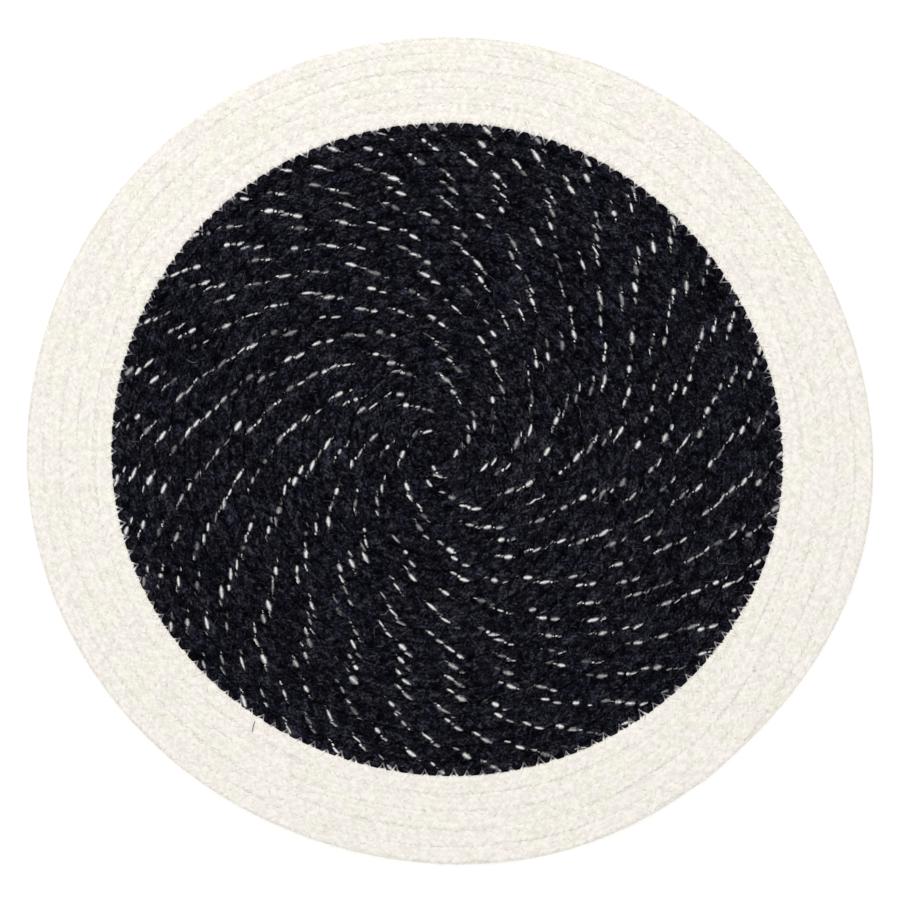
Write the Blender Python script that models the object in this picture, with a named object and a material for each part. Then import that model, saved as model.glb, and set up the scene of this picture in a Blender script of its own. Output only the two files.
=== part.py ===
"""Round placemat of braided cotton cord, coiled flat and sewn turn to turn.

A black cord is wound outward from the middle, and a cream cord is wound on
round it as a border. Each cord is one solid: a flattened section lofted along
its own coil, with its turns lying side by side. Both coils wind clockwise seen
from above. Metres, +Z up, the mat lying on z = 0 with its middle at the origin.

A bearing is an angle in degrees, clockwise from +X seen from above.
A row is the width of one turn of cord.
"""
import math

import bpy
import bmesh
from mathutils import Vector

MM = 0.001

# The mat's two outlines, in millimetres: a mean radius and the waves that
# make it uneven. Columns: waves round the outline, height, bearing of a crest.
RIM_RADIUS = 189.6
RIM_WAVES = (
    (2, 2.2, 10.0),
    (3, 0.3, 31.0),
    (4, 0.3, 3.0),
    (5, 0.6, 11.0),
    (6, 0.3, 13.0),
    (7, 0.2, 16.0),
)
BLACK_RADIUS = 149.8
BLACK_WAVES = (
    (1, 1.1, 186.0),
    (2, 2.3, 14.0),
    (3, 0.6, 30.0),
    (4, 0.2, 11.0),
    (5, 0.3, 10.0),
)

# The middle of the black coil lies a little off the middle of the mat.
COIL_MIDDLE = (-3.9, -0.3)

# Rows of cord, counted along any bearing.
BLACK_ROWS = 22.3
CREAM_ROWS = 5

# The cords' thickness, and the clearance between two turns, in millimetres.
BLACK_THICKNESS = 4.6
CREAM_THICKNESS = 4.9
TURN_GAP = 0.3

# A turn keeps to its row for most of the way round and steps out to the next
# row between two bearings. The innermost turns wind outward evenly instead.
BLACK_STEP = (20.0, 100.0)
CREAM_STEP = (23.0, 53.0)
EVEN_TURNS = 3.0
STEPPED_TURNS = 8.0

# Where a cord begins or ends it narrows to this part of a row.
TIP_ROWS = 0.12
# The pinhole at the middle, as part of a row, and where the first turn begins.
PINHOLE_ROWS = 0.14
FIRST_ROW = 0.5

# The cord's section: part of the width across, part of the thickness up.
SECTION = (
    (0.20, 0.0),
    (0.80, 0.0),
    (1.00, 0.48),
    (0.76, 1.0),
    (0.24, 1.0),
    (0.00, 0.48),
)
# A narrowed tip keeps at least this part of the cord's thickness.
TIP_THICKNESS = 0.6

# Sections lofted in each turn.
COARSE_STEPS = 20
BLACK_STEPS = 40
CREAM_STEPS = 80
COARSE_TURNS = 4

BLACK_COLOUR = (0.012, 0.012, 0.018, 1.0)
CREAM_COLOUR = (0.86, 0.83, 0.77, 1.0)
COTTON_ROUGHNESS = 0.9


def clear_scene():
    """Remove whatever the open file holds."""
    for item in list(bpy.data.objects):
        bpy.data.objects.remove(item, do_unlink=True)


def outline_point(radius, waves, bearing):
    """Point of an uneven round outline at a bearing."""
    length = radius
    for count, height, crest in waves:
        length += height * math.cos(count * math.radians(bearing - crest))
    angle = math.radians(bearing)
    return Vector((length * math.cos(angle), -length * math.sin(angle)))


def rim_point(bearing):
    return outline_point(RIM_RADIUS, RIM_WAVES, bearing)


def black_edge_point(bearing):
    return outline_point(BLACK_RADIUS, BLACK_WAVES, bearing)


def black_point(rows_in, bearing):
    """Point of the black disc, a number of rows in from its edge."""
    middle = Vector(COIL_MIDDLE)
    return middle.lerp(black_edge_point(bearing), 1.0 - rows_in / BLACK_ROWS)


def cream_point(rows_in, bearing):
    """Point of the cream border, a number of rows in from the rim."""
    return rim_point(bearing).lerp(black_edge_point(bearing), rows_in / CREAM_ROWS)


def smooth(value, low, high):
    """Smooth rise from 0 at low to 1 at high."""
    part = min(max((value - low) / (high - low), 0.0), 1.0)
    return part * part * (3.0 - 2.0 * part)


def rows_wound(turn, step):
    """Rows that a coil has stepped out by after a number of turns."""
    whole = math.floor(turn)
    return whole + smooth((turn - whole) * 360.0, *step)


def black_rows_wound(turn):
    """Rows between the coil's middle and the cord's outer edge."""
    lag = 0.5 - (BLACK_STEP[0] + BLACK_STEP[1]) / 720.0
    even = turn + lag
    stepped = rows_wound(turn, BLACK_STEP)
    weight = smooth(turn, EVEN_TURNS, STEPPED_TURNS)
    return even + weight * (stepped - even) + BLACK_ROWS % 1.0


def cord_section(inner, outer, thickness, fullness):
    """One section of a cord between the points at its two sides."""
    across = outer - inner
    clear = across.normalized() * TURN_GAP / 2.0
    inner = inner + clear
    outer = outer - clear
    height = thickness * (TIP_THICKNESS + (1.0 - TIP_THICKNESS) * min(fullness, 1.0))
    ring = []
    for part, rise in SECTION:
        place = inner.lerp(outer, part)
        ring.append(Vector((place.x, place.y, height * rise)) * MM)
    return ring


def black_sections():
    """Sections of the black cord, from the middle to its outer end."""
    start = FIRST_ROW - black_rows_wound(0.0)
    turn = math.floor(start * COARSE_STEPS) / COARSE_STEPS
    sections = []
    while True:
        outer_rows = max(BLACK_ROWS - black_rows_wound(turn), 0.0)
        inner_rows = BLACK_ROWS - max(black_rows_wound(turn - 1.0), PINHOLE_ROWS)
        width = inner_rows - outer_rows
        if turn > STEPPED_TURNS and width < TIP_ROWS:
            return sections
        bearing = turn * 360.0
        inner = black_point(inner_rows, bearing)
        outer = black_point(outer_rows, bearing)
        sections.append(cord_section(inner, outer, BLACK_THICKNESS, width))
        steps = COARSE_STEPS if turn < COARSE_TURNS else BLACK_STEPS
        turn = round(turn * steps + 1.0) / steps


def cream_sections():
    """Sections of the cream cord, from the black disc to its outer end."""
    sections = []
    for index in range((CREAM_ROWS + 1) * CREAM_STEPS):
        turn = index / CREAM_STEPS
        outer_rows = max(CREAM_ROWS - rows_wound(turn, CREAM_STEP), 0.0)
        inner_rows = min(CREAM_ROWS - rows_wound(turn - 1.0, CREAM_STEP), CREAM_ROWS)
        width = inner_rows - outer_rows
        if width < TIP_ROWS:
            continue
        bearing = turn * 360.0
        inner = cream_point(inner_rows, bearing)
        outer = cream_point(outer_rows, bearing)
        sections.append(cord_section(inner, outer, CREAM_THICKNESS, width))
    return sections


def loft(name, sections, offset):
    """Closed solid through a row of sections, moved by an offset."""
    mesh = bpy.data.meshes.new(name)
    work = bmesh.new()
    rings = [[work.verts.new(point - offset) for point in ring] for ring in sections]
    sides = len(SECTION)
    for ring, following in zip(rings, rings[1:]):
        for side in range(sides):
            after = (side + 1) % sides
            work.faces.new((ring[side], ring[after], following[after], following[side]))
    work.faces.new(rings[0])
    work.faces.new(rings[-1])
    bmesh.ops.triangulate(work, faces=work.faces)
    bmesh.ops.recalc_face_normals(work, faces=work.faces)
    work.to_mesh(mesh)
    work.free()
    mesh.shade_smooth()
    mesh.set_sharp_from_angle(angle=math.radians(35.0))
    return bpy.data.objects.new(name, mesh)


def cotton(name, colour):
    """Plain matt cotton of one colour."""
    material = bpy.data.materials.new(name)
    material.use_nodes = True
    shader = material.node_tree.nodes["Principled BSDF"]
    shader.inputs["Base Color"].default_value = colour
    shader.inputs["Roughness"].default_value = COTTON_ROUGHNESS
    shader.inputs["Metallic"].default_value = 0.0
    return material


def middle_of(sections):
    """Middle of the box round a row of sections, on the floor."""
    xs = [point.x for ring in sections for point in ring]
    ys = [point.y for ring in sections for point in ring]
    return Vector(((min(xs) + max(xs)) / 2.0, (min(ys) + max(ys)) / 2.0, 0.0))


def build():
    """Make both cords in the placemat's collection."""
    clear_scene()
    placemat = bpy.data.collections.new("coiled_cord_placemat")
    bpy.context.scene.collection.children.link(placemat)

    black = black_sections()
    cream = cream_sections()
    offset = middle_of(cream)

    black_cord = loft("black_cord_coil", black, offset)
    black_cord.data.materials.append(cotton("black_cotton", BLACK_COLOUR))
    placemat.objects.link(black_cord)

    cream_cord = loft("cream_cord_coil", cream, offset)
    cream_cord.data.materials.append(cotton("cream_cotton", CREAM_COLOUR))
    placemat.objects.link(cream_cord)


build()
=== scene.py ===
"""Looks of a round placemat of braided cotton cord, coiled flat and sewn.

Each cord is a core with the floats of its braid laid on it. The braid is the
usual round one: carriers wind both ways round the core, over two and under two,
so that the floats lie in columns along the cord. One carrier of the black cord
holds a white thread, whose floats show as rows of short dashes. Zigzag stitches
join each turn to the next.

Lengths are in millimetres up to the meshes, which are in metres. A bearing is
clockwise from +X seen from above, and turns are bearings in whole turns.
"""
import math

import bpy
import numpy as np
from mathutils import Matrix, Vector


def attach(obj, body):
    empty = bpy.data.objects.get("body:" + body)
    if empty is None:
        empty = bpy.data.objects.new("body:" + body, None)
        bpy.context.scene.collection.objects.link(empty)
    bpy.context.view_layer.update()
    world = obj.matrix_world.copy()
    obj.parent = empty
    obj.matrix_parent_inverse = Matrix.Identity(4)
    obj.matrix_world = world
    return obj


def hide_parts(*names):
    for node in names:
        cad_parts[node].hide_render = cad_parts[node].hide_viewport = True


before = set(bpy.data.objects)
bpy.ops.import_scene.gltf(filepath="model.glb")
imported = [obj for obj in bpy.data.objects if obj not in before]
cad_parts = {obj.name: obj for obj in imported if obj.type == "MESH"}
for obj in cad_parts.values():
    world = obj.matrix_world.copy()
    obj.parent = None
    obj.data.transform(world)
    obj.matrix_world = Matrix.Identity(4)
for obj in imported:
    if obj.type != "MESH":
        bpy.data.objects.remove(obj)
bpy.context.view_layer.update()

MM = 0.001
RANDOM_SEED = 7

# ---- coil shape
# Driving sizes of the mat, as its solids have them but for the two radii.
RIM_RADIUS = 189.2  # 0.4 less than the solid's, for the fuzz that stands out from it
RIM_WAVES = (
    # waves, height, crest bearing
    (2, 2.2, 10.0),
    (3, 0.3, 31.0),
    (4, 0.3, 3.0),
    (5, 0.6, 11.0),
    (6, 0.3, 13.0),
    (7, 0.2, 16.0),
)
BLACK_RADIUS = 150.3  # 0.5 more than the solid's, for the yarn that bulges at the groove
BLACK_WAVES = (
    # waves, height, crest bearing
    (1, 1.1, 186.0),
    (2, 2.3, 14.0),
    (3, 0.6, 30.0),
    (4, 0.2, 11.0),
    (5, 0.3, 10.0),
)
COIL_MIDDLE = (-3.9, -0.3)
BLACK_ROWS = 22.3
CREAM_ROWS = 5
BLACK_THICKNESS = 4.6
CREAM_THICKNESS = 4.9
BLACK_STEP = (20.0, 100.0)  # bearings between which a turn moves out into the next row
CREAM_STEP = (23.0, 53.0)
EVEN_TURNS = 3.0  # turns of the black coil that wind out evenly
STEPPED_TURNS = 8.0  # turns after which all of the way out is in the step
PINHOLE_ROWS = 0.14  # radius of the hole in the middle, in rows
FIRST_ROW = 0.5  # rows from the middle to the black cord's outer edge where it begins

SAMPLES = 360  # of a coil in each turn
SECTION_SAMPLES = 721  # round a cord's section
TIP_ROWS = 0.03  # width of a cord's tip, in rows
TIP_THINNING = 0.1  # of a cord's thickness, lost where it narrows to a tip
FREE_RIM = 0.0  # rows in to a coil's free edge, which is not pressed
NO_FREE_EDGE = -1.0  # the same, where it has none
ROW_WAVER = 0.022  # how far a groove strays, in rows
WAVERS = (
    # waves round the mat, height, phase that each row adds
    (5.0, 1.0, 1.3),
    (11.0, 0.8, -0.9),
    (17.0, 0.7, 2.1),
)

# ---- braid
CARRIERS = 10  # carriers that wind each way
STEPS = 2 * CARRIERS  # crossings in once round the cord, or in one lay
WHITE_OFFSET = 4.5  # crossings that put a white float on top of the cord at each whole lay
BLACK_LAY = 23.814  # length of cord in which a carrier winds round once
CREAM_LAY = 23.8
BLACK_ROUNDNESS = 4.2  # exponent of the cord's flattened section
CREAM_ROUNDNESS = 7.0
BLACK_SQUEEZE = 0.03  # rows by which a cord is pressed into the turn on each side
CREAM_SQUEEZE = 0.085
TWISTS = (
    # steps by which the braid is turned, length of cord for a radian, phase at its beginning
    (1.1, 83.0, 0.0),
    (0.9, 37.0, 1.0),
    (0.35, 11.0, 2.0),
)
LAY_SLIP = (
    # (turn of the black coil, lays by which its braid has run ahead)
    (1.0, -0.4), (1.3, 0.0), (2.0, 0.0), (2.3, -0.5),
    (2.45, -0.3), (2.7, -0.4), (4.5, 0.4), (5.8, 0.7),
    (7.0, 0.5), (7.5, 0.8), (8.0, 0.5), (8.4, 0.75),
    (9.0, 0.45), (9.4, 0.65), (10.0, 0.55), (10.5, 0.9),
    (11.3, 0.65), (12.0, 0.2), (12.9, 0.4), (13.6, 1.0),
    (14.0, 0.8), (14.5, 1.2), (15.5, 1.65), (16.2, 1.35),
    (17.0, 1.0), (18.0, 1.2), (18.5, 1.65), (19.2, 1.35),
    (20.0, 1.75), (20.5, 1.55), (20.8, 1.05), (22.0, 1.0),
)
NO_SLIP = ((0.0, 0.0), (1.0, 0.0))


def smooth(value, low, high):
    """Smooth rise from 0 at low to 1 at high."""
    part = np.clip((value - low) / (high - low), 0.0, 1.0)
    return part * part * (3.0 - 2.0 * part)


def outline(radius, waves, turns):
    """Points of an uneven round outline at bearings given in turns."""
    angle = turns * 2.0 * math.pi
    length = np.full_like(angle, radius)
    for count, height, crest in waves:
        length += height * np.cos(count * (angle - math.radians(crest)))
    return np.stack((length * np.cos(angle), -length * np.sin(angle)), axis=-1)


def middle_of_rim():
    """Middle of the box round the rim, which the solids have at the origin."""
    rim = outline(RIM_RADIUS, RIM_WAVES, np.arange(SAMPLES) / SAMPLES)
    return (rim.min(axis=0) + rim.max(axis=0)) / 2.0


MAT_MIDDLE = middle_of_rim()


def rim_points(turns):
    return outline(RIM_RADIUS, RIM_WAVES, turns) - MAT_MIDDLE


def black_edge_points(turns):
    return outline(BLACK_RADIUS, BLACK_WAVES, turns) - MAT_MIDDLE


def waver(rows_in, rows, turns):
    """Rows in to a groove that strays from its even place, but not at the edges."""
    angle = turns * 2.0 * math.pi
    held = np.sin(np.clip(rows_in / rows, 0.0, 1.0) * math.pi)
    stray = sum(height * np.sin(waves * angle + phase * rows_in) for waves, height, phase in WAVERS)
    return rows_in + ROW_WAVER * held * stray


def black_points(rows_in, turns):
    """Points of the black disc, some rows in from its edge."""
    middle = np.array(COIL_MIDDLE) - MAT_MIDDLE
    part = (1.0 - waver(rows_in, BLACK_ROWS, turns) / BLACK_ROWS)[:, None]
    return middle + (black_edge_points(turns) - middle) * part


def cream_points(rows_in, turns):
    """Points of the cream border, some rows in from the rim."""
    rim = rim_points(turns)
    part = (waver(rows_in, CREAM_ROWS, turns) / CREAM_ROWS)[:, None]
    return rim + (black_edge_points(turns) - rim) * part


def rows_wound(turns, step):
    """Rows that a coil has stepped out by after some turns."""
    whole = np.floor(turns)
    return whole + smooth((turns - whole) * 360.0, *step)


def black_rows_wound(turns):
    """Rows between the black coil's middle and its cord's outer edge."""
    lag = 0.5 - (BLACK_STEP[0] + BLACK_STEP[1]) / 720.0
    even = turns + lag
    weight = smooth(turns, EVEN_TURNS, STEPPED_TURNS)
    return even + weight * (rows_wound(turns, BLACK_STEP) - even) + BLACK_ROWS % 1.0


STITCH_PITCH = 6.6  # from one point of a zigzag to the next on the same side
EDGE_PULL = 0.65  # how far the border stitches pull the groove to and fro
PULL_WIDTH = 1.5  # distance over which the pull dies out
ONE_TURN = np.arange(0.0, 1.0 + 0.5 / SAMPLES, 1.0 / SAMPLES)


NO_LENGTH = 1e-6  # least length to divide by


def unit(vectors):
    """Vectors with their length made one."""
    return vectors / np.maximum(np.linalg.norm(vectors, axis=-1, keepdims=True), NO_LENGTH)


def lengths_along(points):
    """Length along a curve up to each of its points."""
    return np.concatenate(([0.0], np.cumsum(np.linalg.norm(np.diff(points, axis=0), axis=1))))


def polar(points):
    """Points' plan from the outlines' middle, with its radius and its bearing in turns."""
    plan = points[..., :2] + MAT_MIDDLE
    radius = np.linalg.norm(plan, axis=-1)
    turn = np.mod(np.arctan2(-plan[..., 1], plan[..., 0]) / (2.0 * math.pi), 1.0)
    return plan, radius, turn


def pulled(points):
    """Points moved to and fro across the groove between the cords by its stitches."""
    groove = black_edge_points(ONE_TURN)
    plan, radius, turn = polar(points)
    edge = np.interp(turn, ONE_TURN, np.linalg.norm(groove + MAT_MIDDLE, axis=1))
    phase = 2.0 * math.pi * np.interp(turn, ONE_TURN, lengths_along(groove)) / STITCH_PITCH
    shift = EDGE_PULL * np.cos(phase) * np.exp(-(((radius - edge) / PULL_WIDTH) ** 2))
    moved = points.copy()
    moved[:, :2] += plan / radius[:, None] * shift[:, None]
    return moved


def inside_rim(points, margin):
    """Points with any that pass a line a margin in from the rim drawn back to it."""
    plan, radius, turn = polar(points)
    rim = np.linalg.norm(rim_points(ONE_TURN) + MAT_MIDDLE, axis=1)
    limit = np.interp(turn, ONE_TURN, rim) - margin
    kept = points.copy()
    kept[..., :2] -= plan * np.maximum(1.0 - limit / radius, 0.0)[..., None]
    return kept


class Cord:
    """One cord's coil, read by the length along the cord."""

    def __init__(
        self, turns, points, inner_rows, outer_rows, thickness, roundness, squeeze, free_edge
    ):
        """Both sides are pressed in by the squeeze, but not the outer one at a free edge."""
        width = inner_rows - outer_rows
        kept = width >= TIP_ROWS
        self.turns = turns[kept]
        inner = points(inner_rows[kept] + squeeze, self.turns)
        outer_rows = outer_rows[kept]
        outer = points(outer_rows - squeeze * (outer_rows > free_edge), self.turns)
        across = outer - inner
        self.width = np.linalg.norm(across, axis=1)
        self.across = across / self.width[:, None]
        self.middle = (inner + outer) / 2.0
        fullness = np.minimum(width[kept], 1.0)
        self.height = thickness * (1.0 - TIP_THINNING * (1.0 - fullness))
        self.along = lengths_along(self.middle)
        self.length = float(self.along[-1])
        self.roundness = roundness
        self.usual_width = float(np.median(self.width))
        self.thickness = thickness
        self.set_section(self.usual_width / 2.0, thickness / 2.0)

    def set_section(self, half_width, half_height):
        """Tabulate the section by the part of the way round it."""
        angle = np.linspace(0.0, 2.0 * math.pi, SECTION_SAMPLES)
        cosine, sine = np.cos(angle), np.sin(angle)
        power = 2.0 / self.roundness
        self.section_x = np.sign(cosine) * np.abs(cosine) ** power
        self.section_z = np.sign(sine) * np.abs(sine) ** power
        steps = np.hypot(
            np.diff(self.section_x) * half_width, np.diff(self.section_z) * half_height
        )
        self.girth = float(steps.sum())
        self.section_part = np.concatenate(([0.0], np.cumsum(steps))) / self.girth

    def set_braid(self, lay, slip):
        """Set how the braid lies: its lay, and how far it runs ahead by turn."""
        self.step_along = lay / STEPS
        self.step_round = self.girth / STEPS
        self.grid = np.linspace(0.0, self.length, int(self.length) + 1)
        turn = np.interp(self.grid, self.along, self.turns)
        ahead = np.interp(turn, *np.array(slip).T)
        self.grid_steps = STEPS * (self.grid / lay + ahead) + WHITE_OFFSET - self.twist(self.grid)

    def twist(self, along):
        """Steps by which the braid is turned about the cord."""
        return sum(steps * np.sin(along / length + phase) for steps, length, phase in TWISTS)

    def crossings(self, first, pitch):
        """Numbers of the crossings at some pitch from a first one, and their lengths along."""
        low = math.ceil((self.grid_steps[0] - first) / pitch)
        high = math.floor((self.grid_steps[-1] - first) / pitch)
        number = np.arange(low, high + 1)
        return number, np.interp(first + pitch * number, self.grid_steps, self.grid)

    def read(self, name, along):
        """A value or a plan vector of the coil at lengths along the cord."""
        values = getattr(self, name)
        if values.ndim == 1:
            return np.interp(along, self.along, values)
        columns = [np.interp(along, self.along, column) for column in values.T]
        return np.stack(columns, axis=-1)

    def surface(self, along, part, lift, side_lift=None):
        """Points a lift above the cord's surface, a part of the way round it.

        The way round begins at the outer side and goes over the top. The lift
        at the sides may be another than at the top and underneath.
        """
        part = np.mod(part, 1.0)
        x = np.interp(part, self.section_part, self.section_x)
        z = np.interp(part, self.section_part, self.section_z)
        half_width = self.read("width", along) / 2.0
        half_height = self.read("height", along) / 2.0
        normal_x = np.sign(x) * np.abs(x) ** (self.roundness - 1.0) / half_width
        normal_z = np.sign(z) * np.abs(z) ** (self.roundness - 1.0) / half_height
        size = np.hypot(normal_x, normal_z)
        normal_x, normal_z = normal_x / size, normal_z / size
        if side_lift is not None:
            lift = lift * np.abs(normal_z) + side_lift * np.abs(normal_x)
        sideways = half_width * x + lift * normal_x
        up = half_height * (1.0 + z) + lift * normal_z
        plan = self.read("middle", along) + self.read("across", along) * sideways[..., None]
        return np.concatenate((plan, up[..., None]), axis=-1)


def make_black_cord():
    first = FIRST_ROW - float(black_rows_wound(np.array([0.0]))[0])
    turns = np.arange(first, BLACK_ROWS + 1.0, 1.0 / SAMPLES)
    outer_rows = np.maximum(BLACK_ROWS - black_rows_wound(turns), 0.0)
    inner_rows = BLACK_ROWS - np.maximum(black_rows_wound(turns - 1.0), PINHOLE_ROWS)
    section = (BLACK_THICKNESS, BLACK_ROUNDNESS, BLACK_SQUEEZE, NO_FREE_EDGE)
    cord = Cord(turns, black_points, inner_rows, outer_rows, *section)
    cord.set_braid(BLACK_LAY, LAY_SLIP)
    return cord


def make_cream_cord():
    turns = np.arange(0.0, CREAM_ROWS + 1.0, 1.0 / SAMPLES)
    outer_rows = np.maximum(CREAM_ROWS - rows_wound(turns, CREAM_STEP), 0.0)
    inner_rows = np.minimum(CREAM_ROWS - rows_wound(turns - 1.0, CREAM_STEP), CREAM_ROWS)
    section = (CREAM_THICKNESS, CREAM_ROUNDNESS, CREAM_SQUEEZE, FREE_RIM)
    cord = Cord(turns, cream_points, inner_rows, outer_rows, *section)
    cord.set_braid(CREAM_LAY, NO_SLIP)
    return cord


# ---- meshes
SHARP_ANGLE = math.radians(75.0)  # edges bent more are shaded sharp, such as a float's rim


def add_object(name, data):
    """An object that shows a mesh, a light or a camera."""
    added = bpy.data.objects.new(name, data)
    bpy.context.scene.collection.objects.link(added)
    return added


def add_mesh(name, points, faces, material, tones, strands):
    """A smooth mesh from points in millimetres and triangles.

    Each point has a tone, and a place in its own yarn.
    """
    mesh = bpy.data.meshes.new(name)
    mesh.vertices.add(len(points))
    mesh.vertices.foreach_set("co", (points * MM).astype(np.float32).ravel())
    mesh.loops.add(faces.size)
    mesh.loops.foreach_set("vertex_index", faces.astype(np.int32).ravel())
    mesh.polygons.add(len(faces))
    mesh.polygons.foreach_set("loop_start", np.arange(len(faces), dtype=np.int32) * 3)
    mesh.polygons.foreach_set("loop_total", np.full(len(faces), 3, dtype=np.int32))
    mesh.update(calc_edges=True)
    mesh.shade_smooth()
    mesh.set_sharp_from_angle(angle=SHARP_ANGLE)
    layer = mesh.attributes.new("tone", "FLOAT", "POINT")
    layer.data.foreach_set("value", tones.astype(np.float32))
    layer = mesh.attributes.new("strand", "FLOAT_VECTOR", "POINT")
    layer.data.foreach_set("vector", strands.astype(np.float32).ravel())
    mesh.materials.append(material)
    return add_object(name, mesh)


def tube_faces(stops, sides):
    """Triangles of a closed tube, from ring to ring and over its two ends."""
    faces = []
    for stop in range(stops - 1):
        for here in range(sides):
            first, second = stop * sides + here, stop * sides + (here + 1) % sides
            faces.append((first, second, second + sides))
            faces.append((first, second + sides, first + sides))
    end = (stops - 1) * sides
    for here in range(1, sides - 1):
        faces.append((0, here + 1, here))
        faces.append((end, end + here, end + here + 1))
    return np.array(faces)


CORE_SIDES = 12
CORE_SIDE_LIFT = 0.06  # of the core from the cord's surface, where turns press together
# the core's low tone: painted shade, where the core shows in the gaps between the floats
CORE_SHADE_TONE = 0.2


def add_core(name, cord, core_lift, steps_each_turn, material):
    """The cord's core, one closed tube, its top and underside a lift from the cord's, darkened as
    painted shade.
    """
    sides = CORE_SIDES
    turns = np.arange(cord.turns[0], cord.turns[-1], 1.0 / steps_each_turn)
    along = np.interp(turns, cord.turns, cord.along)
    grid_along = np.repeat(along, sides)
    grid_part = np.tile(np.arange(sides) / sides, len(along))
    points = cord.surface(grid_along, grid_part, core_lift, CORE_SIDE_LIFT)
    faces = tube_faces(len(along), sides)[:, ::-1]  # its rings run the other way round
    tones = np.full(len(points), CORE_SHADE_TONE)
    strands = np.stack((grid_along, grid_part * cord.girth, np.zeros_like(grid_along)), axis=-1)
    return add_mesh(name, points, faces, material, tones, strands)


# A float's shapes. Points: part of its half length along, part of its half width
# across, and 0 at the rim up to 1 at the crown. Triangles go outward.
FINE_FLOAT = (
    np.array((
        (1, 0, 0), (0.7, 0.75, 0), (0, 1, 0), (-0.7, 0.75, 0),
        (-1, 0, 0), (-0.7, -0.75, 0), (0, -1, 0), (0.7, -0.75, 0),
        (0.62, 0, 0.85), (0, 0, 1), (-0.62, 0, 0.85),
    )),
    np.array((
        (0, 1, 8), (1, 2, 8), (2, 9, 8), (2, 3, 10), (2, 10, 9), (3, 4, 10),
        (4, 5, 10), (5, 6, 10), (6, 9, 10), (6, 7, 8), (6, 8, 9), (7, 0, 8),
        (0, 2, 1), (0, 4, 2), (2, 4, 3), (4, 6, 5), (0, 6, 4), (0, 7, 6),
    )),
)
PLAIN_FLOAT = (
    np.array((
        (1, 0, 0), (0.5, 0.95, 0), (-0.5, 0.95, 0),
        (-1, 0, 0), (-0.5, -0.95, 0), (0.5, -0.95, 0),
        (0.45, 0, 1), (-0.45, 0, 1),
    )),
    np.array((
        (0, 1, 6), (1, 2, 6), (2, 7, 6), (2, 3, 7), (3, 4, 7), (4, 5, 7),
        (5, 6, 7), (5, 0, 6), (0, 2, 1), (0, 3, 2), (0, 4, 3), (0, 5, 4),
    )),
)
COARSE_FLOAT = (
    np.array((
        (1, 0, 0), (0, 1, 0), (-1, 0, 0), (0, -1, 0),
        (0.35, 0, 1), (-0.35, 0, 1),
    )),
    np.array((
        (0, 1, 4), (1, 5, 4), (1, 2, 5), (2, 3, 5), (3, 4, 5), (3, 0, 4),
        (0, 2, 1), (0, 3, 2),
    )),
)
UNEVENNESS = 0.09  # spread of a float's sizes, as a part of them
LIFT_SPREAD = 0.16  # spread of how proud its crown stands, as a part of its rise
PLACE_SPREAD = 0.13  # spread of its place
SWING_SPREAD = 0.10  # spread of its turn about its middle, in radians
FLOAT_LEAN = math.radians(10.0)  # of a float from its carrier's path, towards the cord's length
FLOAT_OVERLAP = 1.2  # a float's length, as a part of the two crossings it passes
OWN_TONE = 0.65  # of a float's tone, the part that is not its carrier's
YARN_RANGE = 100.0  # of the places in the yarn where floats begin
LEAST_WIDTH = 1.6  # of a cord whose braid shows, where it narrows to its end


def float_places(cord, first, last):
    """Places of the floats in the columns between two counts of steps round.

    Each row holds the length along, the steps round, which way the carrier
    winds, and the carrier's number.
    """
    places = []
    for middle in range(first + 1, last, 2):
        way = 1 if middle % 4 == 1 else -1
        number, along = cord.crossings(way * (middle - 0.5), 2)
        carrier = (number if way > 0 else number + middle) % CARRIERS
        columns = (along, np.full(len(along), middle), np.full(len(along), way), carrier)
        places.append(np.stack(columns, axis=-1))
    return np.concatenate(places)


def lay_floats(cord, places, shape, size, lifts, rng, spread):
    """Points of floats laid on a cord, their faces, and the points' places in the yarn.

    Size is a float's length and width, and lifts are those of its rim and its crown.
    """
    shape_points, shape_faces = shape
    count = len(places)
    slope = math.atan2(cord.step_round, cord.step_along) - FLOAT_LEAN
    unit_along, unit_round = math.cos(slope), math.sin(slope)
    along, middle, way, _ = places.T
    uneven = 1.0 + UNEVENNESS * spread * rng.standard_normal((count, 2))
    half_length = size[0] / 2.0 * uneven[:, 0]
    half_width = size[1] / 2.0 * uneven[:, 1]
    crown_shift = LIFT_SPREAD * spread * (lifts[1] - lifts[0]) * rng.standard_normal(count)
    shift = PLACE_SPREAD * spread * rng.standard_normal((count, 2))
    swing = SWING_SPREAD * rng.standard_normal(count)
    ahead = shape_points[None, :, 0] * half_length[:, None]
    aside = shape_points[None, :, 1] * half_width[:, None]
    ahead, aside = ahead - aside * swing[:, None], aside + ahead * swing[:, None]
    level = np.broadcast_to(shape_points[None, :, 2], ahead.shape)
    point_along = along[:, None] + ahead * unit_along - aside * unit_round + shift[:, :1]
    middle_round = (middle + cord.twist(along)) * cord.step_round
    across = (ahead * unit_round + aside * unit_along) * way[:, None]
    point_round = middle_round[:, None] + across + shift[:, 1:]
    lift = lifts[0] + (lifts[1] - lifts[0]) * level + crown_shift[:, None] * level
    point_along = np.clip(point_along, 0.0, cord.length)
    part = point_round.ravel() / cord.girth
    points = pulled(cord.surface(point_along.ravel(), part, lift.ravel()))
    points[:, 2] = np.maximum(points[:, 2], 0.0)
    faces = shape_faces[None, :, :] + (np.arange(count) * len(shape_points))[:, None, None]
    flipped = way < 0
    faces[flipped] = faces[flipped][:, :, ::-1]
    offset = np.repeat(rng.random(count) * YARN_RANGE, len(shape_points))
    strands = np.stack((ahead.ravel() + offset, aside.ravel(), offset), axis=-1)
    return points, faces.reshape(-1, 3), strands


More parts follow.
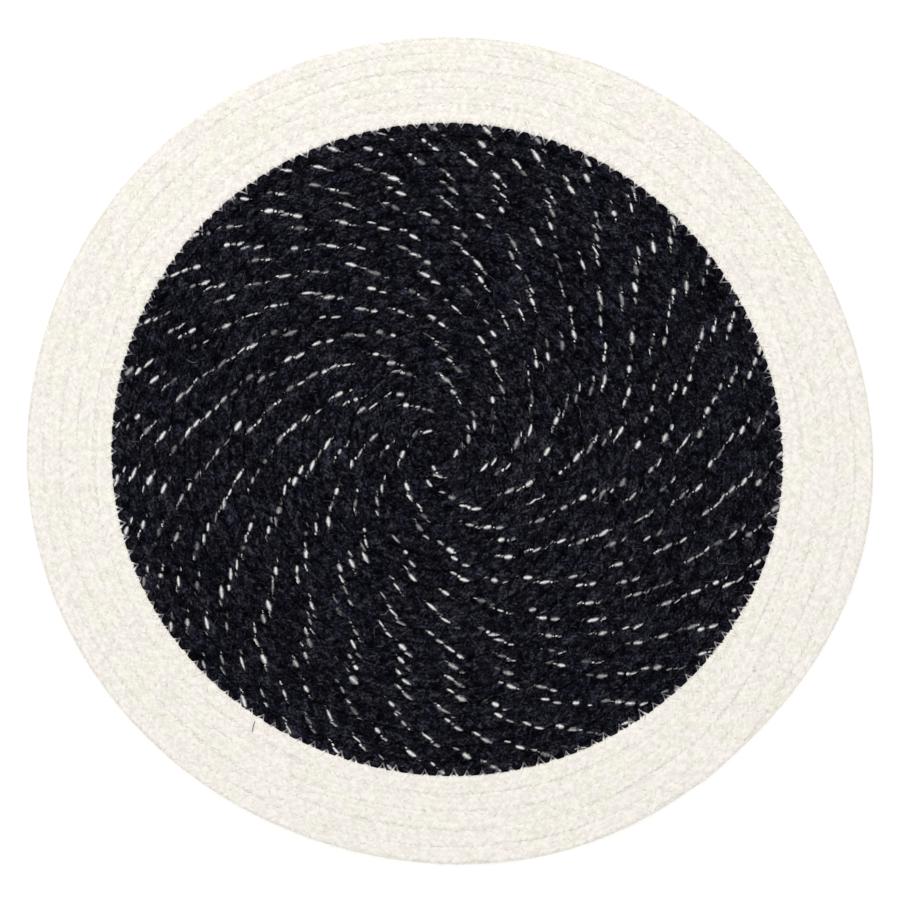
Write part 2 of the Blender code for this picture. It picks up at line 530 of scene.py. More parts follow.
def add_braid(name, cord, places, shape, lifts, fullness, spread, material, carrier_tones, rng):
    """The floats of some columns of a cord as one mesh, in tones partly their carriers'."""
    places = places[cord.read("width", places[:, 0]) > LEAST_WIDTH]
    of_carrier = carrier_tones[(places[:, 2] > 0).astype(int), places[:, 3].astype(int)]
    tones = OWN_TONE * rng.random(len(places)) + (1.0 - OWN_TONE) * of_carrier
    reach = math.hypot(cord.step_along, cord.step_round)
    width = 2.0 * cord.step_along * cord.step_round / reach * fullness
    size = (2.0 * reach * FLOAT_OVERLAP, width)
    points, faces, strands = lay_floats(cord, places, shape, size, lifts, rng, spread)
    return add_mesh(name, points, faces, material, np.repeat(tones, len(shape[0])), strands)


THIN_SIDES = 3  # of a fibre or a sunken thread
ROUND_SIDES = 6  # of a thread that shows


def tube_mesh(paths, radius, sides):
    """Points and faces of closed tubes along paths, an array by path, stop and axis."""
    count, stops, _ = paths.shape
    ahead = np.empty_like(paths)
    ahead[:, 1:-1] = paths[:, 2:] - paths[:, :-2]
    ahead[:, 0] = paths[:, 1] - paths[:, 0]
    ahead[:, -1] = paths[:, -1] - paths[:, -2]
    side = unit(np.cross(paths[:, -1] - paths[:, 0], np.array((0.0, 0.0, 1.0))))
    side = np.broadcast_to(side[:, None, :], ahead.shape)
    over = unit(np.cross(side, unit(ahead)))
    angle = np.arange(sides) * 2.0 * math.pi / sides
    reach = np.broadcast_to(radius, (count, stops))[..., None, None]
    points = (
        paths[:, :, None, :]
        + reach * side[:, :, None, :] * np.cos(angle)[None, None, :, None]
        + reach * over[:, :, None, :] * np.sin(angle)[None, None, :, None]
    )
    faces = tube_faces(stops, sides)[None] + (np.arange(count) * stops * sides)[:, None, None]
    return points.reshape(-1, 3), faces.reshape(-1, 3)


def add_tubes(name, paths, radius, sides, material, rng, stop_tones=None):
    """Closed tubes as one mesh, with a tone for each tube or for each of its stops."""
    points, faces = tube_mesh(paths, radius, sides)
    each = paths.shape[1] * sides
    if stop_tones is None:
        tones = np.repeat(rng.random(len(paths)), each)
    else:
        tones = np.repeat(stop_tones.ravel(), sides)
    stop = np.tile(np.repeat(np.arange(paths.shape[1]), sides), len(paths))
    tube = np.repeat(np.arange(len(paths)), each)
    strands = np.stack((stop, np.zeros(len(stop)), tube), axis=-1)
    return add_mesh(name, points, faces, material, tones, strands)


# ---- white thread
DASH_SIZES = (
    # usual size, then spread, least and most as parts of it
    (5.1, 0.22, 0.45, 1.5),  # length
    (2.3, 0.22, 0.5, 1.4),  # width
)
DASH_LIFTS = (-0.26, 0.14)
DASH_FADING = (0.75, 2.4)  # the faintest one's loss of tone, and the power that makes few faint
SPECK_SIZES = (
    # usual size, then spread, least and most as parts of it
    (2.6, 0.3, 0.4, 1.8),  # length
    (1.5, 0.3, 0.4, 1.6),  # width
)
SPECK_LIFTS = (-0.42, 0.0)
SPECK_FADING = (0.9, 1.5)
SPECK_SHARE = 0.55  # of the places where the thread is under, those where it shows
WHITE_SPREAD = 0.5  # of a white float's form and place, as a part of the usual spreads
CENTRE_LENGTH = 22.0  # cord before the first dash, and half of that before the first speck
TOP_COLUMN = 2  # steps round the cord after which a float shows well from above
RIM_TONE = 0.10  # the fuzz round a white float, as a part of its crown's tone
SLUBS = (
    # turn of the black coil, length, width
    (7.433, 4.0, 2.8),
    (9.007, 6.6, 2.6),
    (12.530, 4.2, 2.8),
    (14.658, 5.6, 2.9),
    (14.985, 6.0, 3.6),
    (16.230, 6.6, 4.2),
    (16.304, 5.8, 3.8),
    (20.774, 5.0, 2.6),
)


def drawn_sizes(rows, count, rng):
    """Lengths and widths of floats, drawn round the usual ones."""
    return np.stack([
        usual * np.clip(1.0 + spread * rng.standard_normal(count), least, most)
        for usual, spread, least, most in rows
    ])


def drawn_tones(fading, shape, count, rng):
    """Tones of white floats' points, full at the crown and faint at the rim."""
    tones = 1.0 - fading[0] * rng.random(count) ** fading[1]
    part = RIM_TONE + (1.0 - RIM_TONE) * shape[0][:, 2]
    return (tones[:, None] * part[None, :]).ravel()


def add_white_thread(name, cord, first, last, material, rng):
    """Dashes where the thread lies over, and specks where it shows between."""
    places = float_places(cord, first, last)
    places = places[(places[:, 2] > 0) & (places[:, 3] == 0) & (places[:, 0] > CENTRE_LENGTH)]
    sizes = drawn_sizes(DASH_SIZES, len(places), rng)
    turn = np.interp(places[:, 0], cord.along, cord.turns)
    for slub_turn, length, width in SLUBS:
        turns_away = np.where(places[:, 1] > TOP_COLUMN, np.abs(turn - slub_turn), np.inf)
        sizes[:, np.argmin(turns_away)] = (length, width)
    dashes = lay_floats(cord, places, FINE_FLOAT, sizes, DASH_LIFTS, rng, WHITE_SPREAD)
    dash_tones = drawn_tones(DASH_FADING, FINE_FLOAT, len(places), rng)

    specks = between_places(cord, first, last)
    shown = rng.random(len(specks)) < SPECK_SHARE
    specks = specks[shown & (specks[:, 0] > 2.0 * CENTRE_LENGTH)]
    sizes = drawn_sizes(SPECK_SIZES, len(specks), rng)
    spots = lay_floats(cord, specks, PLAIN_FLOAT, sizes, SPECK_LIFTS, rng, WHITE_SPREAD)
    spot_tones = drawn_tones(SPECK_FADING, PLAIN_FLOAT, len(specks), rng)
    spots = (spots[0], spots[1] + len(dashes[0]), spots[2])
    points, faces, strands = (np.concatenate(pair) for pair in zip(dashes, spots))
    tones = np.concatenate((dash_tones, spot_tones))
    return add_mesh(name, points, faces, material, tones, strands)


def between_places(cord, first, last):
    """Places where the white thread passes under, halfway between its dashes."""
    places = []
    for middle in range(first + 3, last, 4):
        _, along = cord.crossings(middle - 0.5, STEPS)
        one = np.ones(len(along))
        places.append(np.stack((along, middle * one, one, 0.0 * one), axis=-1))
    return np.concatenate(places)


# ---- stitching
STITCH_REACH = 3.0  # from the groove to a zigzag's point
REACH_SPREAD = 0.16  # as a part of the reach
POINT_STRAY = 0.3  # of a point along the groove
END_DIVE = 0.9  # of an arm's two ends into the cords
BRIDGE_DIP = 0.35  # of the thread over a groove, from the lower cord's top
BRIDGE_REACH = 0.6  # of the bridge from the groove, as a part of the stitch's reach
BORDER_SWELL = 0.15  # of the border's reach round the mat, as a part of it
SWELL_CREST = math.radians(50.0)
BORDER_BEND = 1.15  # power by which its arms are drawn together on the right of the groove
BORDER_STOPS = np.array((0.0, 0.06, 0.25, 0.5, 0.75, 0.94, 1.0))  # parts of an arm
BORDER_HEIGHTS = (0.06, 0.07)
BORDER_RADIUS = 0.3
DRAWN_RADIUS = 0.3  # more, where the cream yarn is drawn out with the thread
DRAWN_FROM = (-0.3, 0.1)  # distances onto the black cord where it begins to be, and is whole
DRAWN_TO = (0.5, 1.3)  # and where it begins to go, and is gone
WORN_REACH = 1.6  # distance onto the black cord where the thread is worn most
WORN = (0.5, 0.3)  # least loss of tone there, and the range above it
ROW_STOPS = np.array((0.0, 0.3, 0.7, 1.0))
ROW_HEIGHTS = (-0.12, 0.03)
ROW_RADIUS = 0.2
RIM_MARGIN = 1.0  # from the rim in to where row stitches and fibres are kept


def arc_length_points(points, spacing):
    """Even points along a plan curve, with the unit way across to the left."""
    along = lengths_along(points)
    count = int(along[-1] / spacing)
    at = np.arange(count + 1) * spacing
    even = np.stack([np.interp(at, along, column) for column in points.T], axis=-1)
    ahead = unit(np.gradient(even, axis=0))
    return even, np.stack((-ahead[:, 1], ahead[:, 0]), axis=-1)


def cord_top(cord, distance):
    """Height of a cord's top at a distance in from its edge."""
    x = np.clip(np.abs(1.0 - 2.0 * distance / cord.usual_width), 0.0, 1.0)
    rise = (1.0 - x ** cord.roundness) ** (1.0 / cord.roundness)
    return cord.thickness / 2.0 * (1.0 + rise)


def zigzag_paths(groove, left_cord, right_cord, stops, heights, bend, swell, rng):
    """Arms of a zigzag stitch over a groove, and how far left each stop is.

    Heights are the mean and the spread of the thread's height on the cords. A bend
    of 1 leaves the arms straight, and a swell of 0 their reach even.
    """
    points, left = arc_length_points(groove, STITCH_PITCH / 2.0)
    count = len(points)
    side = np.where(np.arange(count) % 2 == 0, 1.0, -1.0)
    out = STITCH_REACH * (1.0 + REACH_SPREAD * rng.standard_normal(count))
    out *= 1.0 + swell * np.cos(np.arange(count) * 2.0 * math.pi / count - SWELL_CREST)
    ahead = np.stack((left[:, 1], -left[:, 0]), axis=-1)
    place = points + POINT_STRAY * rng.standard_normal((count, 1)) * ahead
    reach = side * out
    ends = place + left * reach[:, None]
    paths = []
    offsets = []
    bridge = min(left_cord.thickness, right_cord.thickness) - BRIDGE_DIP
    for arm in range(count - 1):
        start, finish = ends[arm], ends[arm + 1]
        offset = reach[arm] + (reach[arm + 1] - reach[arm]) * stops
        run = stops ** bend if side[arm] < 0.0 else 1.0 - (1.0 - stops) ** bend
        spare = (finish - start) * (run - stops)[:, None]
        spare -= left[arm] * (spare @ left[arm])[:, None]
        plan = start + (finish - start) * stops[:, None] + spare
        distance = np.abs(offset)
        top = np.where(offset > 0, cord_top(left_cord, distance), cord_top(right_cord, distance))
        up = np.maximum(top, np.where(distance < STITCH_REACH * BRIDGE_REACH, bridge, 0.0))
        up += heights[0] + heights[1] * rng.standard_normal()
        up[[0, -1]] -= END_DIVE
        paths.append(np.concatenate((plan, up[:, None]), axis=1))
        offsets.append(offset)
    return np.array(paths), np.array(offsets)


def add_border_stitches(name, black, cream, material, rng):
    """Cream zigzag that joins the cream border to the black coil.

    The thread is worn grey where it lies on the black cord, and the cream
    cord's yarn is pulled out with it at the groove.
    """
    groove = black_edge_points(np.arange(0.0, 1.0, 1.0 / SAMPLES))
    style = (BORDER_STOPS, BORDER_HEIGHTS, BORDER_BEND, BORDER_SWELL)
    paths, offsets = zigzag_paths(groove, cream, black, *style, rng)
    drawn_out = smooth(-offsets, *DRAWN_FROM) * (1.0 - smooth(-offsets, *DRAWN_TO))
    radius = BORDER_RADIUS + DRAWN_RADIUS * drawn_out
    worn = smooth(-offsets, 0.0, WORN_REACH) * (WORN[0] + WORN[1] * rng.random((len(paths), 1)))
    return add_tubes(name, paths, radius, ROUND_SIDES, material, rng, 1.0 - worn)


def add_row_stitches(name, cord, material, rng):
    """Zigzags in the cord's own colour between its turns, sunk in the braid."""
    outer_side = cord.middle + cord.across * cord.width[:, None] / 2.0
    groove = outer_side[cord.turns < cord.turns[-1] - 1.0]
    paths, _ = zigzag_paths(groove, cord, cord, ROW_STOPS, ROW_HEIGHTS, 1.0, 0.0, rng)
    return add_tubes(name, inside_rim(paths, RIM_MARGIN), ROW_RADIUS, THIN_SIDES, material, rng)


# ---- needle holes, as spots of painted shade
HOLES = 3000
HOLE_SIZE = (3.2, 1.5)
HOLE_LIFTS = (-0.16, 0.03)
HOLE_COLUMNS = 3  # of holes along the cord, at its grooves and its middle
FIRST_COLUMN = 2.1  # steps round the cord
COLUMN_STEP = 3.2  # steps from a column to the next
HOLE_STRAY = 0.35  # round the cord, in steps
HOLE_DRIFT = 0.12  # along the cord, in stitches
HOLE_SPREAD = 3.0  # of a hole's form and place, as a part of the usual spreads
HOLE_FADING = 0.9  # of the faintest
NARROW_LENGTH = 60.0  # of the cord's narrow end, which has no holes


def add_needle_hole_shade(name, cord, material, rng):
    """Spots of painted shade where the needle has opened the braid, at the stitches' pitch."""
    column = rng.integers(0, HOLE_COLUMNS, HOLES)
    round_steps = FIRST_COLUMN + COLUMN_STEP * column + HOLE_STRAY * rng.standard_normal(HOLES)
    stitch = rng.integers(1, int((cord.length - NARROW_LENGTH) / STITCH_PITCH), HOLES)
    along = stitch + 0.5 * (column % 2) + HOLE_DRIFT * rng.standard_normal(HOLES)
    along *= STITCH_PITCH
    way = rng.choice((-1.0, 1.0), HOLES)
    places = np.stack((along, round_steps - cord.twist(along), way, np.zeros(HOLES)), axis=-1)
    style = (COARSE_FLOAT, HOLE_SIZE, HOLE_LIFTS)
    points, faces, strands = lay_floats(cord, places, *style, rng, HOLE_SPREAD)
    # darkest at a spot's crown: painted shade in the opened braid
    shade_depth = 1.0 - HOLE_FADING * rng.random(HOLES)
    tones = 1.0 - shade_depth[:, None] * COARSE_FLOAT[0][None, :, 2]
    return add_mesh(name, points, faces, material, tones.ravel(), strands)


# ---- loose fibres and threads, and lines of painted shade
FIBRES = (
    # piece, group, cord, count, usual length, radius, yarn
    ("black_fibres", "black", "black", 900, 5.0, 0.045, "black_yarn"),
    ("cream_fibres", "cream", "cream", 500, 5.0, 0.05, "cream_yarn"),
    ("white_fibres", "white", "black", 40, 4.0, 0.03, "white_yarn"),
)
FIBRE_STOPS = 5
FIBRE_PARTS = (0.06, 0.38)  # first part of the way round the cord, and the range after it
FIBRE_BEND = 1.2  # spread of a fibre's bend, in radians
FIBRE_LIFT = 0.02
FIBRE_RISE = 0.25  # of a fibre's waves above the cord
WAVE_RUN = 3.0  # radians of a wave from one end to the other


def add_fibres(name, cord, count, length, radius, material, rng):
    """Loose fibres that lie bent on the cord's top."""
    along = rng.random(count) * cord.length
    part = FIBRE_PARTS[0] + FIBRE_PARTS[1] * rng.random(count)
    heading = rng.random(count) * 2.0 * math.pi
    bend = FIBRE_BEND * rng.standard_normal(count)
    step = length * (0.5 + rng.random(count)) / (FIBRE_STOPS - 1)
    paths = np.empty((count, FIBRE_STOPS, 3))
    place = cord.surface(along, part, FIBRE_LIFT)
    for stop, run in enumerate(np.linspace(-0.5, 0.5, FIBRE_STOPS)):
        paths[:, stop] = place
        paths[:, stop, 2] += FIBRE_RISE * np.abs(np.sin(WAVE_RUN * run + heading))
        angle = heading + bend * run
        place[:, :2] += step[:, None] * np.stack((np.cos(angle), np.sin(angle)), axis=-1)
    return add_tubes(name, inside_rim(paths, RIM_MARGIN), radius, THIN_SIDES, material, rng)


FUZZ_COUNT = 4000
FUZZ_REACH = 1.5  # of the longest of the rim's fibres
FUZZ_ROOT = 1.1  # from the rim in to where they begin
FUZZ_LEAN = 0.9  # how far they wander along the rim
FUZZ_BOW = (0.5, 0.4)  # parts of the reach and of the lean that a fibre's middle has
FUZZ_FALL = 0.8  # of the cord's thickness, the most that they hang down
FUZZ_LIFT = 0.05
FUZZ_RADIUS = 0.055


def add_rim_fuzz(name, material, rng):
    """Short fibres that stand out from the rim, more of them short than long."""
    rim = rim_points(rng.random(FUZZ_COUNT))
    outward = unit(rim + MAT_MIDDLE)
    sideways = np.stack((-outward[:, 1], outward[:, 0]), axis=-1)
    reach = FUZZ_REACH * rng.random((FUZZ_COUNT, 1)) ** 2
    lean = FUZZ_LEAN * rng.standard_normal((FUZZ_COUNT, 1))
    fall = CREAM_THICKNESS * FUZZ_FALL * rng.random((FUZZ_COUNT, 1)) ** 2
    paths = np.empty((FUZZ_COUNT, 3, 3))
    paths[:, 0, :2] = rim - FUZZ_ROOT * outward
    paths[:, 1, :2] = rim + FUZZ_BOW[0] * reach * outward + FUZZ_BOW[1] * lean * sideways
    paths[:, 2, :2] = rim + reach * outward + lean * sideways
    paths[:, :, 2] = CREAM_THICKNESS + FUZZ_LIFT - fall * np.array((0.0, 0.5, 1.0))
    return add_tubes(name, paths, FUZZ_RADIUS, THIN_SIDES, material, rng)


THREADS_AND_SHADE_LINES = (
    # piece, group, yarn, x, y, heading, length, bend, radius, height
    ("dark_hair", "white", "hair_yarn", -88.5, -124.8, -105.0, 5.2, 10.0, 0.26, 4.95),
    ("white_curl", "white", "white_yarn", 69.1, -20.7, -123.0, 5.6, 45.0, 0.5, 4.6),
    ("worn_curl", "white", "worn_yarn", 70.9, -23.6, -20.0, 2.6, 60.0, 0.42, 4.5),
    ("long_hair", "white", "worn_yarn", 124.3, -51.1, 0.0, 5.6, -12.0, 0.14, 4.65),
    # painted shade: dark lines and spots for the creases and pits at the cream cord's tucked end
    ("end_crease_shade_a", "cream", "hole_shade_yarn", 64.8, 166.8, -8.0, 2.6, 0.0, 0.2, 4.9),
    ("end_crease_shade_b", "cream", "hole_shade_yarn", 70.9, 164.8, -9.0, 6.0, 8.0, 0.15, 4.88),
    ("end_pit_shade_a", "cream", "hole_shade_yarn", 58.2, 177.6, 20.0, 1.0, 0.0, 0.3, 4.55),
    ("end_pit_shade_b", "cream", "hole_shade_yarn", 61.4, 176.2, -25.0, 1.1, 0.0, 0.3, 4.5),
    ("middle_yarn", "black", "black_yarn", -3.4, 0.8, 45.0, 6.0, -30.0, 1.8, 2.6),
)
THREAD_STOPS = 6
THREAD_TAPER = 0.45  # of its radius, lost at its ends


def add_bent_tube(name, x, y, heading, length, bend, radius, height, material, rng):
    """One loose thread, or one line of painted shade, that lies bent on the mat, its heading and
    bend in degrees.
    """
    run = np.linspace(-0.5, 0.5, THREAD_STOPS)
    angle = np.radians(heading + bend * run)
    step = length / (THREAD_STOPS - 1)
    plan = np.stack((np.cumsum(np.cos(angle)), np.cumsum(np.sin(angle))), axis=-1) * step
    plan += (x, y) - MAT_MIDDLE - plan.mean(axis=0)
    up = height - radius * np.abs(2.0 * run) ** 3
    path = np.concatenate((plan, up[:, None]), axis=1)[None]
    thickness = radius * (1.0 - THREAD_TAPER * np.abs(2.0 * run) ** 2)[None, :]
    return add_tubes(name, path, thickness, ROUND_SIDES, material, rng)


# ---- materials
def new_material(name):
    material = bpy.data.materials.new(name)
    material.use_nodes = True
    tree = material.node_tree
    return material, tree, tree.nodes["Principled BSDF"]


def add_node(tree, kind, **values):
    """A node with its input sockets or settings set by name."""
    node = tree.nodes.new(kind)
    for name, value in values.items():
        label = name.replace("_", " ")
        if label in node.inputs:
            node.inputs[label].default_value = value
        else:
            setattr(node, name, value)
    return node


def weighted_sum(tree, terms, base):
    """Sum of sockets times weights, plus a base value."""
    total = None
    for socket, weight in terms:
        node = add_node(tree, "ShaderNodeMath", operation="MULTIPLY_ADD")
        tree.links.new(socket, node.inputs[0])
        node.inputs[1].default_value = weight
        node.inputs[2].default_value = base
        if total is not None:
            tree.links.new(total, node.inputs[2])
        total = node.outputs[0]
    return total


def add_noise(tree, place, scale, detail, roughness=0.5):
    """The value of a noise at a socket's place."""
    noise = add_node(tree, "ShaderNodeTexNoise", Scale=scale, Detail=detail, Roughness=roughness)
    tree.links.new(place, noise.inputs["Vector"])
    return noise.outputs["Fac"]


def add_mapping(tree, place, **values):
    """A socket's place turned, stretched or moved."""
    mapping = add_node(tree, "ShaderNodeMapping", **values)
    tree.links.new(place, mapping.inputs["Vector"])
    return mapping.outputs["Vector"]


def add_ramp(tree, factor, stops):
    """The colour that a factor picks between stops, as places and colours."""
    node = add_node(tree, "ShaderNodeValToRGB")
    ramp = node.color_ramp
    while len(ramp.elements) < len(stops):
        ramp.elements.new(0.5)
    for element, (place, colour) in zip(ramp.elements, stops):
        element.position = place
        element.color = (*colour, 1.0)
    tree.links.new(factor, node.inputs["Fac"])
    return node.outputs["Color"]


BROAD_SCALE = 45.0  # mottles to the metre
FINE_SCALE = 850.0
PATCH_SCALE = 110.0  # stains to the metre
PATCH_SHIFT = (3.1, 1.7, 0.0)
FIBRE_TURN = (0.0, 0.0, math.radians(12.0))  # of the fibres' twist in the yarn
FIBRE_STRETCH = (0.55, 2.4, 1.0)
MIX_COLOURS = (6, 7)  # sockets of a colour mix
MIX_RESULT = 2
FINE_RELIEF = 0.8  # of the fine mottle's height, as a part of the fibres'
RELIEF_HEIGHT = 0.00012  # in metres


def cotton(name, stops, weights, tint, gloss, sheen, bump, mottle=210.0):
    """Matt cotton yarn: a tone for each float, mottles, stains and twisted fibres.

    Weights are those of the float's tone, of the broad, the middle and the fine
    mottle, and of the fibres' streaks. Stops are the colours they run through, and
    mottle is the scale of the middle one.
    """
    material, tree, shader = new_material(name)
    link = tree.links.new
    tone = add_node(tree, "ShaderNodeAttribute", attribute_name="tone").outputs["Fac"]
    place = add_node(tree, "ShaderNodeTexCoord").outputs["Object"]
    broad = add_noise(tree, place, BROAD_SCALE, detail=3.0)
    middle = add_noise(tree, place, mottle, detail=3.0, roughness=0.6)
    fine = add_noise(tree, place, FINE_SCALE, detail=2.0)
    strand = add_node(tree, "ShaderNodeAttribute", attribute_name="strand").outputs["Vector"]
    twisted = add_mapping(tree, strand, Rotation=FIBRE_TURN, Scale=FIBRE_STRETCH)
    fibres = add_noise(tree, twisted, 1.0, detail=3.0, roughness=0.6)
    terms = zip((tone, broad, middle, fine, fibres), weights)
    mixed = weighted_sum(tree, terms, 0.5 - 0.5 * sum(weights))
    shifted = add_mapping(tree, place, Location=PATCH_SHIFT)
    patches = add_noise(tree, shifted, PATCH_SCALE, detail=2.0)
    tinted = add_node(tree, "ShaderNodeMix", data_type="RGBA", blend_type="MULTIPLY", Factor=1.0)
    colours = (add_ramp(tree, mixed, stops), add_ramp(tree, patches, tint))
    for socket, colour in zip(MIX_COLOURS, colours):
        link(colour, tinted.inputs[socket])
    link(tinted.outputs[MIX_RESULT], shader.inputs["Base Color"])

    height = weighted_sum(tree, ((fibres, 1.0), (fine, FINE_RELIEF)), 0.0)
    relief = add_node(tree, "ShaderNodeBump", Strength=bump, Distance=RELIEF_HEIGHT)
    link(height, relief.inputs["Height"])
    link(relief.outputs["Normal"], shader.inputs["Normal"])
    rough = add_node(tree, "ShaderNodeMapRange", To_Min=0.82, To_Max=0.96)
    link(fine, rough.inputs["Value"])
    link(rough.outputs["Result"], shader.inputs["Roughness"])
    shader.inputs["Specular IOR Level"].default_value = gloss
    shader.inputs["Sheen Weight"].default_value = sheen
    shader.inputs["Sheen Roughness"].default_value = 0.5
    return material


WHITE = (1.0, 1.0, 1.0)
NO_TINT = ((0.0, WHITE), (1.0, WHITE))
CREAM_TINT = (
    (0.34, (1.007, 0.984, 0.997)),
    (0.46, (0.994, 0.989, 0.994)),
    (0.54, (0.990, 0.990, 0.985)),
    (0.66, (0.984, 0.996, 0.953)),
)
BLACK_TINT = (
    (0.36, (0.93, 1.0, 1.15)),
    (0.50, (0.98, 1.0, 1.04)),
    (0.64, (1.06, 0.99, 1.04)),
)
YARNS = {
    # name: stops, weights, tint, gloss, sheen, bump, and mottle where it is not the usual one
    "black_yarn": (
        (
            (0.05, (0.0007, 0.0007, 0.0013)), (0.30, (0.0026, 0.0026, 0.0042)),
            (0.50, (0.008, 0.008, 0.012)), (0.65, (0.0145, 0.0145, 0.02)),
            (0.95, (0.048, 0.048, 0.06)),
        ),
        (0.6, 0.3, 0.9, 1.1, 1.3), BLACK_TINT, 0.01, 0.01, 0.7,
    ),
    "cream_yarn": (
        (
            (0.10, (0.812, 0.780, 0.721)), (0.50, (0.908, 0.874, 0.813)),
            (0.90, (0.962, 0.930, 0.871)),
        ),
        (0.3, 0.1, 2.5, 0.3, 0.3), CREAM_TINT, 0.05, 0.03, 0.1, 380.0,
    ),
    "white_yarn": (
        (
            (0.12, (0.03, 0.03, 0.033)), (0.45, (0.22, 0.22, 0.22)),
            (0.85, (0.82, 0.81, 0.79)),
        ),
        (1.0, 0.2, 0.4, 0.5, 0.4), NO_TINT, 0.08, 0.04, 0.4,
    ),
    "stitch_yarn": (
        (
            (0.12, (0.04, 0.035, 0.04)), (0.5, (0.27, 0.25, 0.265)),
            (0.88, (0.94, 0.91, 0.85)),
        ),
        (1.0, 0.1, 0.2, 0.3, 0.3), NO_TINT, 0.05, 0.03, 0.4,
    ),
    # painted shade: a darker cream for the core, which shows only in the gaps between the floats
    "shaded_core_yarn": (
        ((0.1, (0.82, 0.785, 0.72)), (0.9, (0.90, 0.862, 0.797))),
        (0.5, 0.3, 0.5, 0.5, 0.3), CREAM_TINT, 0.0, 0.0, 0.3,
    ),
    # painted shade, for the needle holes and for the creases and pits at the cream cord's tucked
    # end
    "hole_shade_yarn": (
        ((0.1, (0.66, 0.63, 0.56)), (0.9, (0.90, 0.865, 0.80))),
        (1.0, 0.2, 0.3, 0.3, 0.3), NO_TINT, 0.0, 0.0, 0.3,
    ),
    "fuzz_yarn": (
        ((0.1, (0.955, 0.945, 0.925)), (0.9, (0.985, 0.98, 0.97))),
        (0.5, 0.3, 0.3, 0.3, 0.3), NO_TINT, 0.0, 0.05, 0.1,
    ),
    "hair_yarn": (
        ((0.1, (0.16, 0.135, 0.11)), (0.9, (0.34, 0.30, 0.26))),
        (0.5, 0.2, 0.3, 0.3, 0.3), NO_TINT, 0.0, 0.0, 0.3,
    ),
    "worn_yarn": (
        ((0.1, (0.03, 0.03, 0.035)), (0.9, (0.14, 0.14, 0.15))),
        (0.5, 0.2, 0.5, 0.5, 0.3), NO_TINT, 0.0, 0.0, 0.3,
    ),
}


# ---- stage
PHOTO_MIDDLE = (0.40, 0.24)  # the picture's middle on the mat, before centring
FRAME_WIDTH = 408.15  # across the picture, at the mat
CAMERA_HEIGHT = 2200.0
SENSOR = 36.0
FLOOR_GLOW = 0.19  # the floor's own light, which keeps shadows on it faint
FLOOR_SIZE = 3.0  # half its width, in metres
FLOOR_LEVEL = -0.0002  # in metres
PAPER = ((0.0, (0.93, 0.93, 0.93)), (1.0, (0.95, 0.95, 0.95)))
PAPER_SCALE = 9.0
WORLD_LIGHT = 0.93
KEY_PLACE = (-0.35, 1.3, 0.9)  # in metres
KEY_SIZE = 0.6  # across, in metres
KEY_POWER = 5.5


def add_camera():
    """Straight down on the mat, with a long lens."""
    camera = bpy.data.cameras.new("camera")
    camera.sensor_width = SENSOR
    camera.lens = SENSOR * CAMERA_HEIGHT / FRAME_WIDTH
    holder = add_object("camera", camera)
    x, y = (np.array(PHOTO_MIDDLE) - MAT_MIDDLE) * MM
    holder.location = (x, y, CAMERA_HEIGHT * MM)
    bpy.context.scene.camera = holder


def add_lights():
    """Even white surroundings, and a soft light from above the picture's top."""
    scene = bpy.context.scene
    scene.world = bpy.data.worlds.new("studio")
    scene.world.use_nodes = True
    surroundings = scene.world.node_tree.nodes["Background"]
    surroundings.inputs["Color"].default_value = (*WHITE, 1.0)
    surroundings.inputs["Strength"].default_value = WORLD_LIGHT
    light = bpy.data.lights.new("key", "AREA")
    light.shape = "DISK"
    light.size = KEY_SIZE
    light.energy = KEY_POWER
    holder = add_object("key", light)
    holder.location = KEY_PLACE
    holder.rotation_euler = (-Vector(KEY_PLACE)).to_track_quat("-Z", "Y").to_euler()
    scene.view_settings.view_transform = "Standard"
    scene.view_settings.look = "None"


def floor_material():
    """Plain white paper with a very faint mottle."""
    material, tree, shader = new_material("white_paper")
    place = add_node(tree, "ShaderNodeTexCoord").outputs["Object"]
    colour = add_ramp(tree, add_noise(tree, place, PAPER_SCALE, detail=2.0), PAPER)
    tree.links.new(colour, shader.inputs["Base Color"])
    shader.inputs["Roughness"].default_value = 0.9
    shader.inputs["Specular IOR Level"].default_value = 0.1
    shader.inputs["Emission Color"].default_value = (*WHITE, 1.0)
    shader.inputs["Emission Strength"].default_value = FLOOR_GLOW
    return material


def add_floor():
    """A level sheet just under the mat."""
    sides = ((-1.0, -1.0), (1.0, -1.0), (1.0, 1.0), (-1.0, 1.0))
    corners = [(x * FLOOR_SIZE, y * FLOOR_SIZE, FLOOR_LEVEL) for x, y in sides]
    mesh = bpy.data.meshes.new("floor")
    mesh.from_pydata(corners, [], [(0, 1, 2, 3)])
    mesh.materials.append(floor_material())
    add_object("floor", mesh)


# ---- build
TOP = (0, CARRIERS)  # steps round the cord
UNDERSIDE = (CARRIERS, STEPS)
BLACK_CORE = (-0.36, 72)  # the core's lift, and its stops in each turn
CREAM_CORE = (-0.14, 144)
BLACK_LOOK = ((-0.42, 0.02), 1.02, 1.0)  # floats' lifts, how full they are, and their spread
CREAM_LOOK = ((-0.12, 0.0), 1.07, 1.8)


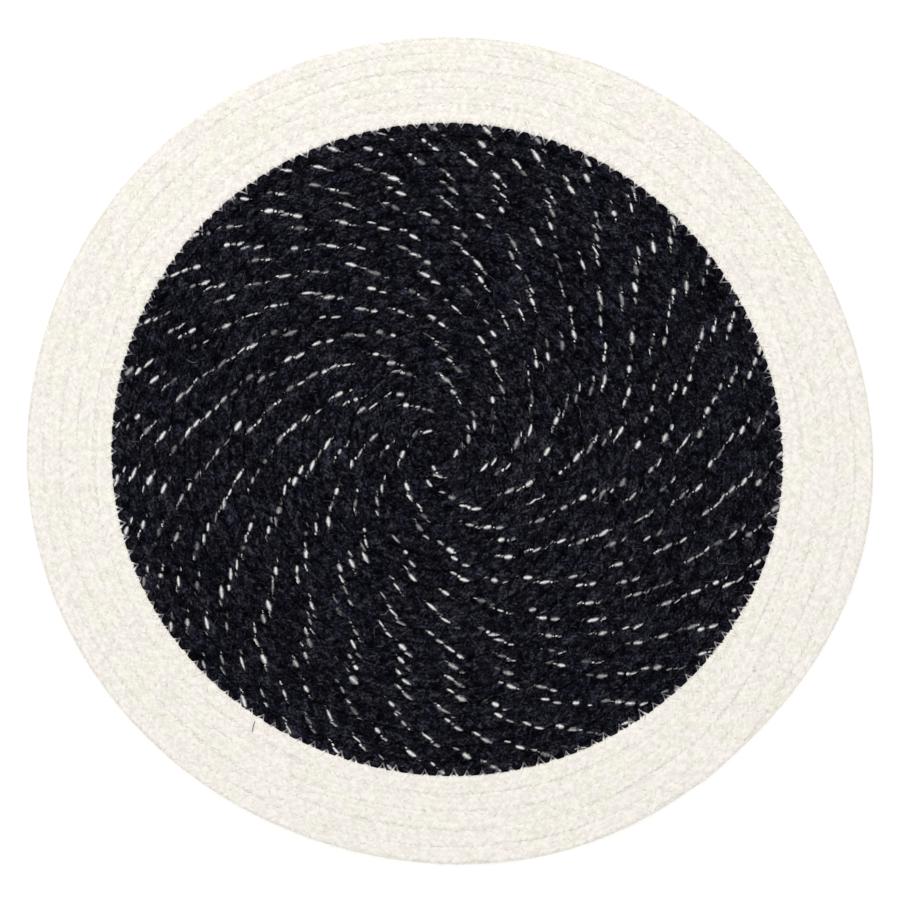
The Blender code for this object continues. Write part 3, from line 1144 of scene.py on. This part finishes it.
def build():
    """Make the stage and the mat's pieces, attach them to one body, and hide the solids."""
    rng = np.random.default_rng(RANDOM_SEED)
    add_camera()
    add_lights()
    add_floor()
    black = make_black_cord()
    cream = make_cream_cord()
    yarns = {name: cotton(name, *recipe) for name, recipe in YARNS.items()}
    black_yarn = yarns["black_yarn"]
    cream_yarn = yarns["cream_yarn"]
    black_core = add_core("black_cord_core", black, *BLACK_CORE, black_yarn)
    cream_core = add_core("cream_cord_core", cream, *CREAM_CORE, yarns["shaded_core_yarn"])

    carrier_tones = rng.random((2, CARRIERS))
    places = float_places(black, *TOP)
    places = places[(places[:, 2] < 0) | (places[:, 3] != 0)]  # all but the white carrier's
    early = places[:, 0] < black.length / 2.0
    under = float_places(black, *UNDERSIDE)
    black_look = (*BLACK_LOOK, black_yarn, carrier_tones, rng)
    cream_look = (*CREAM_LOOK, cream_yarn, carrier_tones, rng)
    black_pieces = [
        add_braid("black_braid_inner", black, places[early], PLAIN_FLOAT, *black_look),
        add_braid("black_braid_outer", black, places[~early], PLAIN_FLOAT, *black_look),
        add_braid("black_braid_under", black, under, COARSE_FLOAT, *black_look),
    ]
    places = float_places(cream, *TOP)
    under = float_places(cream, *UNDERSIDE)
    cream_pieces = [
        add_braid("cream_braid", cream, places, PLAIN_FLOAT, *cream_look),
        add_braid("cream_braid_under", cream, under, COARSE_FLOAT, *cream_look),
    ]
    white_pieces = [
        add_white_thread("white_thread", black, *TOP, yarns["white_yarn"], rng),
        add_border_stitches("border_stitches", black, cream, yarns["stitch_yarn"], rng),
    ]
    black_pieces.append(add_row_stitches("black_stitches", black, black_yarn, rng))
    cream_pieces.append(add_row_stitches("cream_stitches", cream, cream_yarn, rng))
    cream_pieces.append(add_needle_hole_shade("cream_needle_hole_shade", cream, yarns["hole_shade_yarn"], rng))

    groups = {"black": black_pieces, "cream": cream_pieces, "white": white_pieces}
    cords = {"black": black, "cream": cream}
    for name, group, cord, *sizes, yarn in FIBRES:
        groups[group].append(add_fibres(name, cords[cord], *sizes, yarns[yarn], rng))
    cream_pieces.append(add_rim_fuzz("rim_fuzz", yarns["fuzz_yarn"], rng))
    for name, group, yarn, *row in THREADS_AND_SHADE_LINES:
        groups[group].append(add_bent_tube(name, *row, yarns[yarn], rng))

    for piece in (black_core, *black_pieces, cream_core, *cream_pieces, *white_pieces):
        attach(piece, "root")
    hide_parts("black_cord_coil")
    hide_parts("cream_cord_coil")


build()
